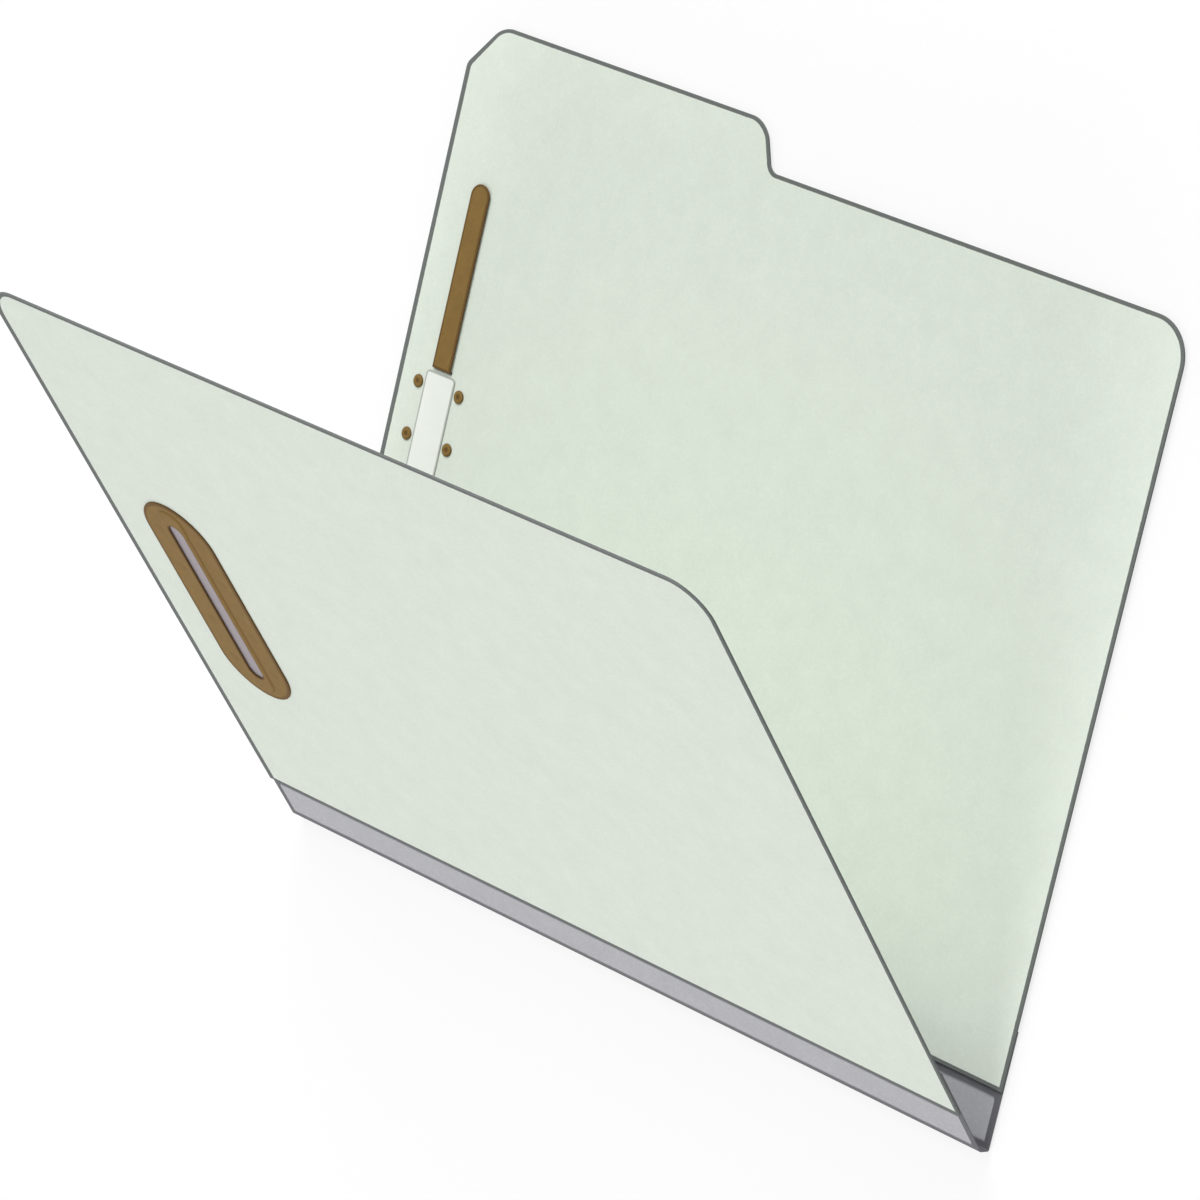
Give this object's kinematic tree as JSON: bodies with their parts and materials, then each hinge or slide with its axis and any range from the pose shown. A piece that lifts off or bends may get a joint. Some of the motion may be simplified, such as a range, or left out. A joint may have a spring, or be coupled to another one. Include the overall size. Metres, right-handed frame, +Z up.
{
  "type": "pressboard fastener folder",
  "caption": "Open pressboard folder with a tabbed back cover, an expanding taped gusset spine and bendable prong fasteners with slotted oval plates.",
  "frame": {"origin": "on the desk, under the middle of the folder's box as it lies part open on its back cover", "axes": "+X along the spine away from the fasteners, +Y from the spine towards the tab, +Z up from the desk"},
  "size_m": [0.2984, 0.259, 0.1774],
  "materials": {
    "pressboard": "matte",
    "gusset_tape": "matte",
    "coated_metal": "satin",
    "bare_steel": "satin",
    "pale_strip": "satin"
  },
  "bodies": {
    "back": {"back_cover": "pressboard", "gusset_back_flap": "gusset_tape", "back_shield": "coated_metal", "back_base_bar": "bare_steel", "back_inner_strip": "pale_strip", "back_rivet_1": "coated_metal", "back_rivet_2": "coated_metal", "back_rivet_3": "coated_metal", "back_rivet_4": "coated_metal", "back_rivet_5": "coated_metal", "back_rivet_6": "coated_metal", "back_rivet_7": "coated_metal", "back_rivet_8": "coated_metal"},
    "back_panel": {"gusset_back_panel": "gusset_tape", "gusset_spine_strip": "gusset_tape"},
    "front_panel": {"gusset_front_panel": "gusset_tape"},
    "front": {"front_cover": "pressboard", "gusset_front_flap": "gusset_tape", "front_shield": "coated_metal", "front_base_bar": "bare_steel", "front_inner_strip": "pale_strip", "front_rivet_1": "coated_metal", "front_rivet_2": "coated_metal", "front_rivet_3": "coated_metal", "front_rivet_4": "coated_metal", "front_rivet_5": "coated_metal", "front_rivet_6": "coated_metal", "front_rivet_7": "coated_metal", "front_rivet_8": "coated_metal"},
    "back_upper_prong": {"back_upper_prong": "coated_metal"},
    "back_lower_prong": {"back_lower_prong": "coated_metal"},
    "front_upper_prong": {"front_upper_prong": "coated_metal"},
    "front_lower_prong": {"front_lower_prong": "coated_metal"}
  },
  "joints": [
    {"name": "back_crease", "type": "hinge", "parent": "back", "child": "back_panel", "pos_m": [0, -0.11182, 0.0008], "axis": [-1, 0, 0], "range_deg": [0, 45]},
    {"name": "front_cover_fold", "type": "hinge", "parent": "back_panel", "child": "front_panel", "pos_m": [0, -0.12932, 0.0043], "axis": [1, 0, 0], "range_deg": [-46, 134]},
    {"name": "front_crease", "type": "hinge", "parent": "front_panel", "child": "front", "pos_m": [0, -0.11717, 0.01689], "axis": [-1, 0, 0], "range_deg": [0, 46]},
    {"name": "back_upper_prong_bend", "type": "hinge", "parent": "back", "child": "back_upper_prong", "pos_m": [-0.13023, 0.02167, 0.00249], "axis": [1, 0, 0], "range_deg": [0, 180]},
    {"name": "back_lower_prong_bend", "type": "hinge", "parent": "back", "child": "back_lower_prong", "pos_m": [-0.13023, -0.04832, 0.00249], "axis": [-1, 0, 0], "range_deg": [0, 170]},
    {"name": "front_upper_prong_bend", "type": "hinge", "parent": "front", "child": "front_upper_prong", "pos_m": [-0.11622, -0.02404, 0.11254], "axis": [-1, 0, 0], "range_deg": [0, 180]},
    {"name": "front_lower_prong_bend", "type": "hinge", "parent": "front", "child": "front_lower_prong", "pos_m": [-0.11622, -0.07266, 0.06218], "axis": [1, 0, 0], "range_deg": [0, 170]}
  ]
}
